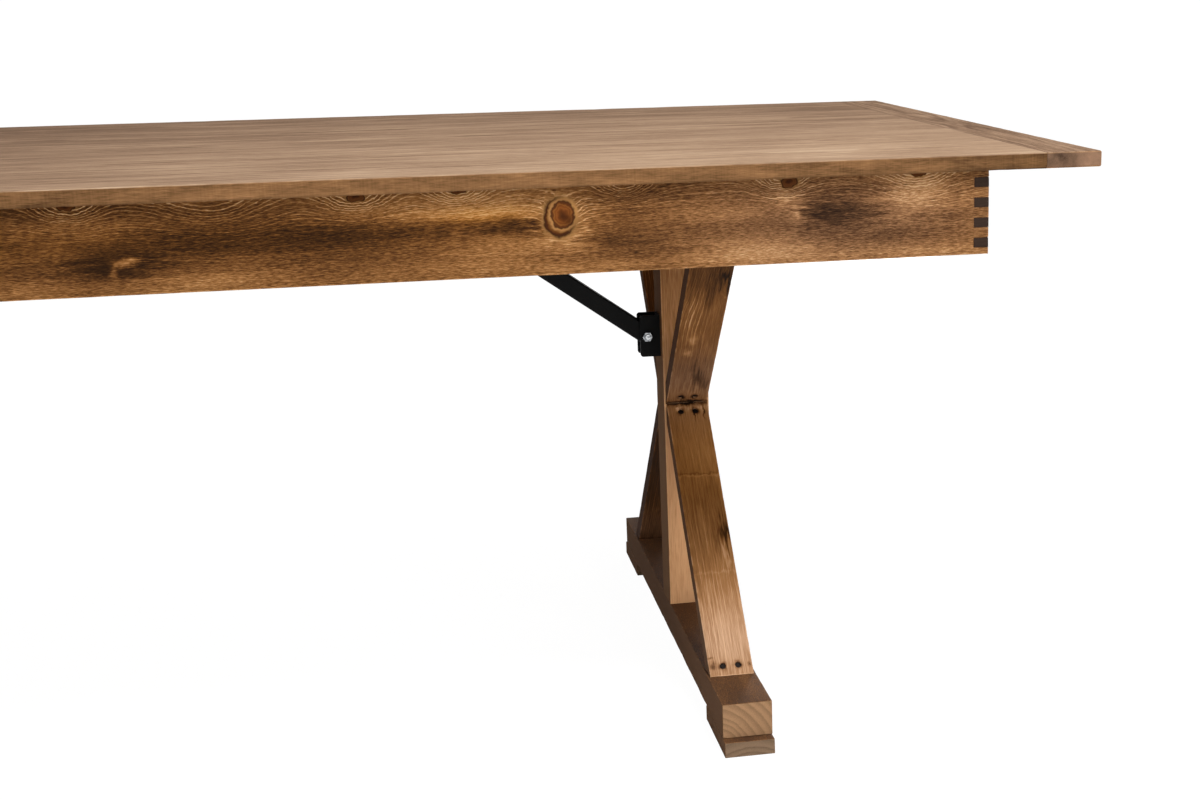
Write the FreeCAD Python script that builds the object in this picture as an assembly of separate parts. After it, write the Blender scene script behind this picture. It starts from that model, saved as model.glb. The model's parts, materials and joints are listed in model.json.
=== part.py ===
"""Folding sawbuck table: a glued plank top in a finger-jointed apron, two trestle legs that
fold flat under it, and a steel strut that holds each leg upright.

Millimetres. X runs along the table, Y across it and Z up. The origin is on the floor, under
the middle of the top. The right leg is drawn first and the left leg is its mirror image.
"""
import FreeCAD, Part
import os
from math import atan2, cos, hypot, pi, radians, sin, tan

os.makedirs("parts", exist_ok=True)
Vector = FreeCAD.Vector
ACROSS = Vector(0, 1, 0)
ALIKE = 1e-6                 # numbers nearer than this are the same

# ---------------------------------------------------------------- driving dimensions
TOP_LENGTH = 2438.0
TOP_WIDTH = 1016.0
TABLE_HEIGHT = 762.0
TOP_THICK = 19.5
TOP_EDGE_RADIUS = 2.5        # worn arris round the top
PLANKS = 5
BREADBOARD_WIDTH = 70.0      # end board across the plank ends
TONGUE_LENGTH = 12.0
TONGUE_THICK = 7.0
TONGUE_SHOULDER = 30.0       # the tongues stop this far inside the long edges

APRON_HEIGHT = 101.0
APRON_THICK = 19.0
APRON_SIDE_INSET = 13.0      # long apron behind the edge of the top
APRON_END_INSET = 138.0      # short apron behind the end of the top
FINGERS = 4                  # short-apron fingers that show in the long apron
FINGER_WIDTH = 12.1

LEG_END_INSET = 436.0        # leg centre to the end of the top
STOCK = 66.0                 # width of foot, rail and post, and depth of the post
BEAM_HEIGHT = 47.0           # foot beam and top rail
FOOT_LENGTH = 880.0
RAIL_LENGTH = 880.0
PAD_THICK = 21.0
PAD_LENGTH = 134.0
PAD_OVERHANG = 14.0          # the pads stand proud of the beam's ends
ARM_WIDTH = 60.0
ARM_THICK = 24.0
ARM_SLOPE = 45.0             # degrees
ARM_TIP = 1.0                # blunted tip where two arms meet on the post
JOINT_HEIGHT = 375.0         # seam between the upper and the lower arms
WOOD_ARRIS = 1.2
BATTEN_THICK = 32.0          # cross batten that carries the hinges
BATTEN_WIDTH = 90.0

HINGE_LENGTH = 76.0
HINGE_OFFSET = 250.0         # hinge centres from the table's centre line
HINGE_SEGMENTS = 5
HINGE_SCREW_PITCH = 25.0
LEAF_THICK = 2.5
LEAF_HEIGHT = 28.0
LEAF_SCREW_HEIGHT = 17.0     # screw line to the hinge's axis
KNUCKLE_RADIUS = 4.0
HINGE_PIN_RADIUS = 2.0
PIN_FIT = 0.08               # running fit round every pin

BRACKET_LENGTH = 60.0
BRACKET_WIDTH = 32.0
BRACKET_STEEL = 3.0
BRACKET_DEPTH = 29.0         # ears of the leg's bracket
BRACKET_SCREW_SPREAD = 20.0  # each bracket's two screws, either side of its middle
KEEPER_DEPTH = 34.0          # ears of the bracket under the top
EAR_RADIUS = 4.0
PIVOT_DEPTH = 19.0           # bolt centre from the face the bracket is screwed to
PIVOT_HEIGHT = 472.0
STRUT_SLOPE = 35.8           # degrees above level, leg upright
STRUT_SIZE = 25.0            # square tube
STRUT_WALL = 2.0
STRUT_CORNER = 2.5           # outside radius of the tube's corners
STRUT_END = 9.0              # tube beyond each bolt centre
BOLT_RADIUS = 4.0
BOLT_HEAD_FLATS = 13.0
BOLT_HEAD_HEIGHT = 5.3
BOLT_TAIL = 2.0              # thread that shows past the nut
NUT_HEIGHT = 6.8
WING_SPAN = 26.0
WING_THICK = 3.0
WING_HEIGHT = 12.0
WING_ROOT = 2.0              # how far the wings start inside the nut's barrel
WING_RISE = 3.0              # the wings' lower edges lift away from the bracket
WING_TIP = 4.0               # length of a wing's flat end
SLOT_CLEARANCE = 0.4         # round the wing bolt in the keeper's open slots
KEEPER_LIP = 12.0            # wing bolt to the open edge of the keeper

SCREW_HEAD_RADIUS = 4.0      # countersunk hardware screws
SCREW_SHANK_RADIUS = 2.0
SCREW_LENGTH = 18.0
SCREW_HEAD_HEIGHT = 2.2
WOOD_SCREW_HEAD_RADIUS = 4.3
WOOD_SCREW_SHANK_RADIUS = 2.2
WOOD_SCREW_HEAD = 3.0
WOOD_SCREW_LENGTH = 42.0
WOOD_SCREW_RECESS = 2.5      # heads driven below the wood's face
WOOD_SCREW_PITCH = 21.0      # between the two screws of a pair
WOOD_SCREW_FROM_TIP = 15.0   # along the arm's face from the end of the arm
HOLE_FIT = 0.05              # round screws and bolts that stay put
BODY_GAP = 0.5               # between the leg and the batten it closes on

# ---------------------------------------------------------------- derived places
UNDERSIDE = TABLE_HEIGHT - TOP_THICK
APRON_Y = TOP_WIDTH / 2 - APRON_SIDE_INSET
APRON_X = TOP_LENGTH / 2 - APRON_END_INSET
APRON_INNER_Y = APRON_Y - APRON_THICK
APRON_INNER_X = APRON_X - APRON_THICK
APRON_BOTTOM = UNDERSIDE - APRON_HEIGHT
LEG_X = TOP_LENGTH / 2 - LEG_END_INSET
HALF_STOCK = STOCK / 2
SLOPE = radians(ARM_SLOPE)
ARM_REACH = HALF_STOCK + ARM_TIP     # arm tips to the middle of the post
FOOT_TOP = PAD_THICK + BEAM_HEIGHT
BATTEN_BOTTOM = UNDERSIDE - BATTEN_THICK
RAIL_TOP = BATTEN_BOTTOM - BODY_GAP
RAIL_BOTTOM = RAIL_TOP - BEAM_HEIGHT
INNER_FACE = LEG_X - HALF_STOCK
HINGE_X = INNER_FACE - KNUCKLE_RADIUS - BODY_GAP
HINGE_Z = BATTEN_BOTTOM - BODY_GAP / 2
PIVOT_X = INNER_FACE - PIVOT_DEPTH
KEEPER_Z = UNDERSIDE - PIVOT_DEPTH
STRUT_TURN = radians(STRUT_SLOPE)    # strut, from level, as the leg folds
FOLD_TURN = pi / 2                   # leg, from upright to flat
KEEPER_X = PIVOT_X - (KEEPER_Z - PIVOT_HEIGHT) / tan(STRUT_TURN)
STRUT_SPAN = hypot(PIVOT_X - KEEPER_X, KEEPER_Z - PIVOT_HEIGHT)
EAR_FACE = BRACKET_WIDTH / 2
EAR_GAP = EAR_FACE - BRACKET_STEEL
LEG_BRACKET_LOW = PIVOT_HEIGHT - BRACKET_LENGTH / 2
LEG_BRACKET_HIGH = LEG_BRACKET_LOW + BRACKET_LENGTH
KEEPER_START = KEEPER_X - KEEPER_LIP
KEEPER_END = KEEPER_START + BRACKET_LENGTH

# As the leg starts to fold, the wing bolt leaves the keeper along this direction.
TURN_RATIO = STRUT_TURN / FOLD_TURN
LEAVE_X = HINGE_Z - PIVOT_HEIGHT + STRUT_SPAN * sin(STRUT_TURN) * TURN_RATIO
LEAVE_Z = PIVOT_X - HINGE_X + STRUT_SPAN * cos(STRUT_TURN) * TURN_RATIO
SLOT_ANGLE = atan2(LEAVE_Z, LEAVE_X)


# ---------------------------------------------------------------- small builders
def block(x0, x1, y0, y1, z0, z1):
    """Box between two corners, in any order."""
    low = Vector(min(x0, x1), min(y0, y1), min(z0, z1))
    return Part.makeBox(abs(x1 - x0), abs(y1 - y0), abs(z1 - z0), low)


def prism(points, direction):
    """Flat outline of (x, y, z) points pushed along a vector."""
    corners = [Vector(*point) for point in points]
    return Part.Face(Part.makePolygon(corners + corners[:1])).extrude(direction)


def rod(radius, start, direction, length):
    return Part.makeCylinder(radius, length, start, direction)


def hexagon(flats, height, centre, direction_y):
    """Hexagonal prism along +Y or -Y, standing on the centre point."""
    radius = flats / 2 / cos(radians(30))
    corners = []
    for k in range(6):
        turn = radians(60 * k)
        corners.append((centre.x + radius * cos(turn), centre.y, centre.z + radius * sin(turn)))
    return prism(corners, Vector(0, height * direction_y, 0))


def eased(shape, radius):
    """Every edge of a sawn piece rounded over a little."""
    return shape.makeFillet(radius, shape.Edges)


def edges_along(shape, direction):
    """Straight edges of a shape that run along a unit vector, either way."""
    return [edge for edge in shape.Edges
            if abs(abs(edge.tangentAt(edge.FirstParameter).dot(direction)) - 1) < ALIKE]


def export(name, shape):
    shape.exportStep("parts/" + name + ".step")


def export_leg_part(name, shape):
    """Write the right-hand piece and its mirror image on the left leg."""
    export(name + "_right", shape)
    export(name + "_left", shape.mirror(Vector(0, 0, 0), Vector(1, 0, 0)))


# ---------------------------------------------------------------- screws
def screw_solid(head, direction, clearance=0.0):
    """Countersunk hardware screw whose flat head starts at the point head."""
    neck = head + direction * SCREW_HEAD_HEIGHT
    cone = Part.makeCone(SCREW_HEAD_RADIUS + clearance, SCREW_SHANK_RADIUS + clearance,
                         SCREW_HEAD_HEIGHT, head, direction)
    shank = rod(SCREW_SHANK_RADIUS + clearance, neck, direction,
                SCREW_LENGTH - SCREW_HEAD_HEIGHT + clearance)
    return cone.fuse(shank).removeSplitter()


def wood_screw_solid(surface, direction, clearance=0.0):
    """Screw through an arm, its head sunk below the face; with clearance, its hole."""
    head = surface + direction * WOOD_SCREW_RECESS
    top = surface - direction * WOOD_SCREW_RECESS if clearance else head
    head_end = head + direction * WOOD_SCREW_HEAD
    cap = rod(WOOD_SCREW_HEAD_RADIUS + clearance, top, direction, (head_end - top).Length)
    shank = rod(WOOD_SCREW_SHANK_RADIUS + clearance, head_end, direction,
                WOOD_SCREW_LENGTH - WOOD_SCREW_HEAD + clearance)
    return cap.fuse(shank).removeSplitter()


def arm_screw_places():
    """(point on the outer face, inward direction) of the screws in a leg's four arms."""
    step_y = WOOD_SCREW_FROM_TIP * cos(SLOPE)
    step_z = WOOD_SCREW_FROM_TIP * sin(SLOPE)
    toe = ARM_REACH + (JOINT_HEIGHT - FOOT_TOP) / tan(SLOPE)
    heel = ARM_REACH + (RAIL_BOTTOM - JOINT_HEIGHT) / tan(SLOPE)
    places = []
    for side in (-1, 1):
        down = Vector(0, -side * sin(SLOPE), -cos(SLOPE))
        up = Vector(0, -side * sin(SLOPE), cos(SLOPE))
        for x in (LEG_X - WOOD_SCREW_PITCH / 2, LEG_X + WOOD_SCREW_PITCH / 2):
            places.append((Vector(x, side * (ARM_REACH + step_y), JOINT_HEIGHT - step_z), down))
            places.append((Vector(x, side * (toe - step_y), FOOT_TOP + step_z), down))
            places.append((Vector(x, side * (ARM_REACH + step_y), JOINT_HEIGHT + step_z), up))
            places.append((Vector(x, side * (heel - step_y), RAIL_BOTTOM - step_z), up))
    return places


def hinge_screw_places(leaf):
    """Screw heads in one leg's two leaves on the batten ("batten") or on the rail ("rail")."""
    sign = 1 if leaf == "batten" else -1
    face = INNER_FACE - LEAF_THICK
    height = HINGE_Z + sign * LEAF_SCREW_HEIGHT
    places = []
    for centre in (-HINGE_OFFSET, HINGE_OFFSET):
        for dy in (-HINGE_SCREW_PITCH, 0, HINGE_SCREW_PITCH):
            places.append((Vector(face, centre + dy, height), Vector(1, 0, 0)))
    return places


def bracket_screw_places():
    """Screw heads in the leg's bracket, up the post."""
    middle = (LEG_BRACKET_LOW + LEG_BRACKET_HIGH) / 2
    heights = (middle - BRACKET_SCREW_SPREAD, middle + BRACKET_SCREW_SPREAD)
    return [(Vector(INNER_FACE - BRACKET_STEEL, 0, z), Vector(1, 0, 0)) for z in heights]


def keeper_screw_places():
    """Screw heads in the right keeper, along the underside of the top."""
    middle = (KEEPER_START + KEEPER_END) / 2
    stations = (middle - BRACKET_SCREW_SPREAD, middle + BRACKET_SCREW_SPREAD)
    return [(Vector(x, 0, UNDERSIDE - BRACKET_STEEL), Vector(0, 0, 1)) for x in stations]


ARM_SCREWS = arm_screw_places()
BRACKET_SCREWS = bracket_screw_places()
KEEPER_SCREWS = keeper_screw_places()


def drill(shape, places, maker, fit=HOLE_FIT):
    """Cut clearance holes for the screws that reach into the shape."""
    for point, direction in places:
        tool = maker(point, direction, fit)
        if tool.BoundBox.intersect(shape.BoundBox):
            shape = shape.cut(tool)
    return shape


# ---------------------------------------------------------------- top
def build_top():
    """Five long planks tongued into a breadboard board at each end."""
    half_l = TOP_LENGTH / 2
    half_w = TOP_WIDTH / 2
    slab = eased(block(-half_l, half_l, -half_w, half_w, UNDERSIDE, TABLE_HEIGHT), TOP_EDGE_RADIUS)
    seam_x = half_l - BREADBOARD_WIDTH
    middle = TABLE_HEIGHT - TOP_THICK / 2
    tongue_z = (middle - TONGUE_THICK / 2, middle + TONGUE_THICK / 2)
    tongue_y = half_w - TONGUE_SHOULDER
    groove_x = seam_x + TONGUE_LENGTH
    left_keeper = [(Vector(-p.x, p.y, p.z), direction) for p, direction in KEEPER_SCREWS]
    width = TOP_WIDTH / PLANKS
    for k in range(PLANKS):
        y0 = -half_w + k * width
        plank = slab.common(block(-seam_x, seam_x, y0, y0 + width, 0, TABLE_HEIGHT))
        tongue = block(-groove_x, groove_x, max(y0, -tongue_y), min(y0 + width, tongue_y), *tongue_z)
        plank = plank.fuse(tongue).removeSplitter()
        export("top_plank_%d" % (k + 1), drill(plank, KEEPER_SCREWS + left_keeper, screw_solid))
    for name, sign in (("breadboard_left", -1), ("breadboard_right", 1)):
        end = slab.common(block(sign * seam_x, sign * half_l, -half_w, half_w, 0, TABLE_HEIGHT))
        groove = block(sign * seam_x, sign * groove_x, -tongue_y, tongue_y, *tongue_z)
        export(name, end.cut(groove))


# ---------------------------------------------------------------- apron
def finger_bands():
    """Heights (low, high) of the short apron's fingers, from the bottom up."""
    margin = (APRON_HEIGHT - (2 * FINGERS - 1) * FINGER_WIDTH) / 2
    starts = [APRON_BOTTOM + margin + 2 * k * FINGER_WIDTH for k in range(FINGERS)]
    return [(z, z + FINGER_WIDTH) for z in starts]


def build_apron():
    """Long boards notched at both ends for the fingers of the short boards."""
    for name, side in (("apron_front", -1), ("apron_back", 1)):
        near = side * APRON_INNER_Y
        far = side * APRON_Y
        board = block(-APRON_X, APRON_X, near, far, APRON_BOTTOM, UNDERSIDE)
        for low, high in finger_bands():
            board = board.cut(block(APRON_INNER_X, APRON_X, near, far, low, high))
            board = board.cut(block(-APRON_INNER_X, -APRON_X, near, far, low, high))
        export(name, board)
    for name, end in (("apron_left", -1), ("apron_right", 1)):
        near = end * APRON_INNER_X
        far = end * APRON_X
        board = block(near, far, -APRON_INNER_Y, APRON_INNER_Y, APRON_BOTTOM, UNDERSIDE)
        for low, high in finger_bands():
            board = board.fuse(block(near, far, -APRON_Y, APRON_Y, low, high))
        export(name, board.removeSplitter())


def build_battens():
    """Cross battens under the top that the hinges are screwed to."""
    batten = block(INNER_FACE, INNER_FACE + BATTEN_WIDTH, -APRON_INNER_Y, APRON_INNER_Y,
                   BATTEN_BOTTOM, UNDERSIDE)
    export_leg_part("hinge_batten", drill(batten, hinge_screw_places("batten"), screw_solid))


# ---------------------------------------------------------------- trestle leg
def arm_blank(side, direction):
    """Sloping arm from the seam on the post to the foot (direction -1) or the rail (+1)."""
    end_z = FOOT_TOP if direction < 0 else RAIL_BOTTOM
    run = abs(end_z - JOINT_HEIGHT) / tan(SLOPE)
    end_width = ARM_THICK / sin(SLOPE)
    inner_rise = ARM_THICK / cos(SLOPE) - ARM_TIP * tan(SLOPE)
    x0 = LEG_X - ARM_WIDTH / 2
    outline = [
        (x0, side * ARM_REACH, JOINT_HEIGHT),
        (x0, side * (ARM_REACH + run), end_z),
        (x0, side * (ARM_REACH + run - end_width), end_z),
        (x0, side * HALF_STOCK, JOINT_HEIGHT + direction * inner_rise),
        (x0, side * HALF_STOCK, JOINT_HEIGHT),
    ]
    arm = prism(outline, Vector(ARM_WIDTH, 0, 0))
    grain = Vector(0, side * cos(SLOPE), direction * sin(SLOPE))
    return arm.makeFillet(WOOD_ARRIS, edges_along(arm, grain))


def build_leg_wood():
    """Foot, pads, post, four arms and top rail, with the screws that hold the arms."""
    x0 = LEG_X - HALF_STOCK
    x1 = LEG_X + HALF_STOCK
    half = FOOT_LENGTH / 2
    foot = eased(block(x0, x1, -half, half, PAD_THICK, FOOT_TOP), WOOD_ARRIS)
    export_leg_part("foot_beam", drill(foot, ARM_SCREWS, wood_screw_solid))
    for name, side in (("foot_pad_front", -1), ("foot_pad_back", 1)):
        outer = side * (half + PAD_OVERHANG)
        pad = eased(block(x0, x1, outer - side * PAD_LENGTH, outer, 0, PAD_THICK), WOOD_ARRIS)
        export_leg_part(name, pad)

    post = block(x0, x1, -HALF_STOCK, HALF_STOCK, FOOT_TOP, RAIL_BOTTOM)
    post = post.makeFillet(WOOD_ARRIS, edges_along(post, Vector(0, 0, 1)))
    post = drill(post, ARM_SCREWS, wood_screw_solid)
    export_leg_part("post", drill(post, BRACKET_SCREWS, screw_solid))

    for level, direction in (("lower", -1), ("upper", 1)):
        for end, side in (("front", -1), ("back", 1)):
            arm = drill(arm_blank(side, direction), ARM_SCREWS, wood_screw_solid)
            export_leg_part("arm_%s_%s" % (level, end), arm)

    rail_half = RAIL_LENGTH / 2
    rail = eased(block(x0, x1, -rail_half, rail_half, RAIL_BOTTOM, RAIL_TOP), WOOD_ARRIS)
    rail = drill(rail, ARM_SCREWS, wood_screw_solid)
    export_leg_part("top_rail", drill(rail, hinge_screw_places("rail"), screw_solid))
    screws = [wood_screw_solid(point, direction) for point, direction in ARM_SCREWS]
    export_leg_part("arm_screws", Part.Compound(screws))


# ---------------------------------------------------------------- hinges
def hinge_leaf(centre, sign):
    """One leaf with its knuckles: sign +1 stands on the batten, -1 hangs on the rail."""
    y0 = centre - HINGE_LENGTH / 2
    pitch = HINGE_LENGTH / HINGE_SEGMENTS
    side_gap = BODY_GAP / 2
    plate_x = INNER_FACE - LEAF_THICK
    neck_x = HINGE_X + KNUCKLE_RADIUS
    bore = HINGE_PIN_RADIUS + (HOLE_FIT if sign > 0 else PIN_FIT)
    plate = block(plate_x, INNER_FACE, y0, y0 + HINGE_LENGTH,
                  HINGE_Z + sign * (KNUCKLE_RADIUS + BODY_GAP), HINGE_Z + sign * LEAF_HEIGHT)
    first = 0 if sign > 0 else 1
    for k in range(first, HINGE_SEGMENTS, 2):
        low = y0 + k * pitch + side_gap
        length = pitch - 2 * side_gap
        knuckle = rod(KNUCKLE_RADIUS, Vector(HINGE_X, low, HINGE_Z), ACROSS, length)
        neck = block(plate_x, neck_x, low, low + length, HINGE_Z,
                     HINGE_Z + sign * (KNUCKLE_RADIUS + 2 * BODY_GAP))
        plate = plate.fuse([knuckle, neck])
    plate = plate.cut(rod(bore, Vector(HINGE_X, y0, HINGE_Z), ACROSS, HINGE_LENGTH))
    return plate.removeSplitter()


def build_hinges():
    """Two butt hinges to a leg: the pins stay with the batten's leaves."""
    centres = (-HINGE_OFFSET, HINGE_OFFSET)
    for name, sign, leaf in (("hinge_fixed_leaves", 1, "batten"), ("hinge_leg_leaves", -1, "rail")):
        leaves = [drill(hinge_leaf(c, sign), hinge_screw_places(leaf), screw_solid) for c in centres]
        export_leg_part(name, Part.Compound(leaves))
    pins = [rod(HINGE_PIN_RADIUS, Vector(HINGE_X, c - HINGE_LENGTH / 2, HINGE_Z),
                ACROSS, HINGE_LENGTH) for c in centres]
    export_leg_part("hinge_pins", Part.Compound(pins))


# ---------------------------------------------------------------- brackets
def rounded_ears(shape, back):
    """Round the free corners of a bracket's ears, those off its back face."""
    corners = [edge for edge in edges_along(shape, ACROSS)
               if back.distToShape(edge)[0] > BRACKET_STEEL + ALIKE]
    return shape.makeFillet(EAR_RADIUS, corners)


def build_leg_bracket():
    """U-shaped bracket screwed to the post, its ears either side of the strut."""
    free = INNER_FACE - BRACKET_DEPTH
    plate = INNER_FACE - BRACKET_STEEL
    ends = (LEG_BRACKET_LOW, LEG_BRACKET_HIGH)
    back = block(plate, INNER_FACE, -EAR_FACE, EAR_FACE, *ends)
    shape = block(free, INNER_FACE, -EAR_FACE, EAR_FACE, *ends)
    shape = shape.cut(block(free, plate, -EAR_GAP, EAR_GAP, *ends))
    shape = rounded_ears(shape, back)
    pivot = Vector(PIVOT_X, -EAR_FACE, PIVOT_HEIGHT)
    shape = shape.cut(rod(BOLT_RADIUS + HOLE_FIT, pivot, ACROSS, BRACKET_WIDTH))
    export_leg_part("leg_bracket", drill(shape, BRACKET_SCREWS, screw_solid))


def build_keeper():
    """U-shaped bracket under the top, its ears slotted open for the strut's wing bolt."""
    bottom = UNDERSIDE - KEEPER_DEPTH
    plate = UNDERSIDE - BRACKET_STEEL
    back = block(KEEPER_START, KEEPER_END, -EAR_FACE, EAR_FACE, plate, UNDERSIDE)
    shape = block(KEEPER_START, KEEPER_END, -EAR_FACE, EAR_FACE, bottom, UNDERSIDE)
    shape = shape.cut(block(KEEPER_START, KEEPER_END, -EAR_GAP, EAR_GAP, bottom, plate))
    shape = rounded_ears(shape, back)
    radius = BOLT_RADIUS + SLOT_CLEARANCE
    seat = Vector(KEEPER_X, -EAR_FACE, KEEPER_Z)
    mouth = seat + Vector(-cos(SLOT_ANGLE), 0, -sin(SLOT_ANGLE)) * (2 * KEEPER_LIP)
    side = Vector(sin(SLOT_ANGLE), 0, -cos(SLOT_ANGLE)) * radius
    slot = prism([seat + side, mouth + side, mouth - side, seat - side], ACROSS * BRACKET_WIDTH)
    slot = slot.fuse(rod(radius, seat, ACROSS, BRACKET_WIDTH))
    export_leg_part("keeper_bracket", drill(shape.cut(slot), KEEPER_SCREWS, screw_solid))


# ---------------------------------------------------------------- strut and its bolts
def build_strut():
    """Square tube from the leg's bracket up to the keeper."""
    half = STRUT_SIZE / 2
    inner = half - STRUT_WALL
    far_end = STRUT_SPAN + STRUT_END
    tube = block(-STRUT_END, far_end, -half, half, -half, half)
    tube = tube.makeFillet(STRUT_CORNER, edges_along(tube, Vector(1, 0, 0)))
    tube = tube.cut(block(-STRUT_END, far_end, -inner, inner, -inner, inner))
    for along, fit in ((0, PIN_FIT), (STRUT_SPAN, HOLE_FIT)):
        tube = tube.cut(rod(BOLT_RADIUS + fit, Vector(along, -half, 0), ACROSS, STRUT_SIZE))
    tube.rotate(Vector(0, 0, 0), ACROSS, 180 + STRUT_SLOPE)
    tube.translate(Vector(PIVOT_X, 0, PIVOT_HEIGHT))
    export_leg_part("strut", tube)


def bolt_at(x, z, face):
    """Hexagon-headed bolt along Y with its head behind the back ear."""
    tail = face + NUT_HEIGHT + BOLT_TAIL
    shank = rod(BOLT_RADIUS, Vector(x, -tail, z), ACROSS, tail + face)
    head = hexagon(BOLT_HEAD_FLATS, BOLT_HEAD_HEIGHT, Vector(x, face, z), 1)
    return shank.fuse(head).removeSplitter()


def build_pivot_bolt():
    """Bolt and nut through the leg's bracket, which the strut turns on."""
    export_leg_part("pivot_bolt", bolt_at(PIVOT_X, PIVOT_HEIGHT, EAR_FACE))
    centre = Vector(PIVOT_X, -EAR_FACE, PIVOT_HEIGHT)
    nut = hexagon(BOLT_HEAD_FLATS, NUT_HEIGHT, centre, -1)
    bore = rod(BOLT_RADIUS + HOLE_FIT, centre, Vector(0, -1, 0), NUT_HEIGHT)
    export_leg_part("pivot_nut", nut.cut(bore))


def build_wing_bolt():
    """Bolt that stays with the strut, and the wing nut that clamps it in the keeper."""
    face = EAR_FACE + SLOT_CLEARANCE
    export_leg_part("wing_bolt", bolt_at(KEEPER_X, KEEPER_Z, face))
    hub_radius = BOLT_HEAD_FLATS / 2
    centre = Vector(0, -face, 0)
    hub = rod(hub_radius, centre, Vector(0, -1, 0), NUT_HEIGHT)
    root = hub_radius - WING_ROOT
    half = WING_SPAN / 2
    wing = [(root, 0), (half, WING_RISE), (half, WING_HEIGHT), (half - WING_TIP, WING_HEIGHT),
            (root, NUT_HEIGHT)]
    for sign in (-1, 1):
        outline = [(sign * out, -face - rise, -WING_THICK / 2) for out, rise in wing]
        hub = hub.fuse(prism(outline, Vector(0, 0, WING_THICK)))
    bore = rod(BOLT_RADIUS + HOLE_FIT, centre, Vector(0, -1, 0), WING_HEIGHT)
    nut = hub.removeSplitter().cut(bore)
    nut.rotate(Vector(0, 0, 0), ACROSS, STRUT_SLOPE)
    nut.translate(Vector(KEEPER_X, 0, KEEPER_Z))
    export_leg_part("wing_nut", nut)


# ---------------------------------------------------------------- hardware screws
def build_hardware_screws():
    """Countersunk screws of the leg's fittings and of the fittings under the top."""
    leg = hinge_screw_places("rail") + BRACKET_SCREWS
    export_leg_part("leg_hardware_screws", Part.Compound([screw_solid(p, d) for p, d in leg]))
    fixed = hinge_screw_places("batten") + KEEPER_SCREWS
    export_leg_part("top_hardware_screws", Part.Compound([screw_solid(p, d) for p, d in fixed]))


build_top()
build_apron()
build_battens()
build_leg_wood()
build_hinges()
build_leg_bracket()
build_keeper()
build_strut()
build_pivot_bolt()
build_wing_bolt()
build_hardware_screws()
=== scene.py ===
# %% [markdown]
# # A folding sawbuck table
#
# The table is stained pine: a glued plank top, a finger-jointed apron and two trestle legs
# that fold on butt hinges, each held by a black steel strut. The CAD model gives every piece
# its real size and place. This script only dresses it: it softens and wears the edges, and
# gives each board its own piece of tree.

# %% Load the fixed frame
import json
from math import cos, floor, pi, radians, sin

import bmesh
import bpy
from mathutils import Matrix, Vector, noise

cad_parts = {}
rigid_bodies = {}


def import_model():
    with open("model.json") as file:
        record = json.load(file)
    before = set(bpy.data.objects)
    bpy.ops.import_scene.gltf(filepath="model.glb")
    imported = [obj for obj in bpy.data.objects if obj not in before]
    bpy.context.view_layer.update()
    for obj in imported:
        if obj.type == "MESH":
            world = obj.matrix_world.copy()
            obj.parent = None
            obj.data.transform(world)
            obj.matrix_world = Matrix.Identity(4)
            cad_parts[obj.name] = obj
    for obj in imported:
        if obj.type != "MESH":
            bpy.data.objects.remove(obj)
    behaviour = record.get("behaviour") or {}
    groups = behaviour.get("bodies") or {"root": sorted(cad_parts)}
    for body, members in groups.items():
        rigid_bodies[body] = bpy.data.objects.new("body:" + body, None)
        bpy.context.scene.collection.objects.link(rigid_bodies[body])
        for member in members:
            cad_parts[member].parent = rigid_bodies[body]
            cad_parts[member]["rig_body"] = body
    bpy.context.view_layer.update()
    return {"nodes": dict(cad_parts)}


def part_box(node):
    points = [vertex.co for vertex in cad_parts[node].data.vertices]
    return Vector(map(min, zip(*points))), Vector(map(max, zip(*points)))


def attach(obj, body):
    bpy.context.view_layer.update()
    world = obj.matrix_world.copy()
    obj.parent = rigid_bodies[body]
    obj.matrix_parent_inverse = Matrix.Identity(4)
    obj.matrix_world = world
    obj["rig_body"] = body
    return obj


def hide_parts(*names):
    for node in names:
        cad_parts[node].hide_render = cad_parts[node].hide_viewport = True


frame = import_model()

NODES = frame["nodes"]
MM = 0.001
ALONG_X = Vector((1, 0, 0))
ALONG_Y = Vector((0, 1, 0))
ALONG_Z = Vector((0, 0, 1))

# %% [markdown]
# ## Camera
#
# The camera stands in front of the table, a little above the top, and looks along it to the
# right-hand leg. Its turn is given as two directions, which say more plainly than angles
# where the picture's right and up are. A small shift of the lens slides the picture without
# turning the camera.

# %% Camera
SENSOR = 36.0
LENS = 55.3
SHIFT_X, SHIFT_Y = -0.14, 0.05
VIEW_PLACE = Vector((0.352, -2.612, 0.9689))
VIEW_RIGHT = Vector((0.976954, -0.212839, -0.016113))
VIEW_UP = Vector((0.069073, 0.243816, 0.967359))


def new_object(name, data):
    """An object in the scene."""
    thing = bpy.data.objects.new(name, data)
    bpy.context.scene.collection.objects.link(thing)
    return thing


def make_camera():
    """Camera whose picture is a window beside its straight-ahead point."""
    lens = bpy.data.cameras.new("camera")
    lens.sensor_width = SENSOR
    lens.lens = LENS
    lens.shift_x = SHIFT_X
    lens.shift_y = SHIFT_Y
    camera = new_object("camera", lens)
    turn = Matrix((VIEW_RIGHT, VIEW_UP, VIEW_RIGHT.cross(VIEW_UP))).transposed()
    camera.matrix_world = Matrix.Translation(VIEW_PLACE) @ turn.to_4x4()
    bpy.context.scene.camera = camera
    return camera


bpy.context.scene.view_settings.view_transform = "Standard"
print("camera at", make_camera().location)

# %% [markdown]
# ## Materials, one node at a time
#
# One helper adds a node, sets it and links it, so a material reads as a list of what happens
# to the colour. Colours are written as the hex values a painter would pick on a screen, and
# one function turns them to linear light.


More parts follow.
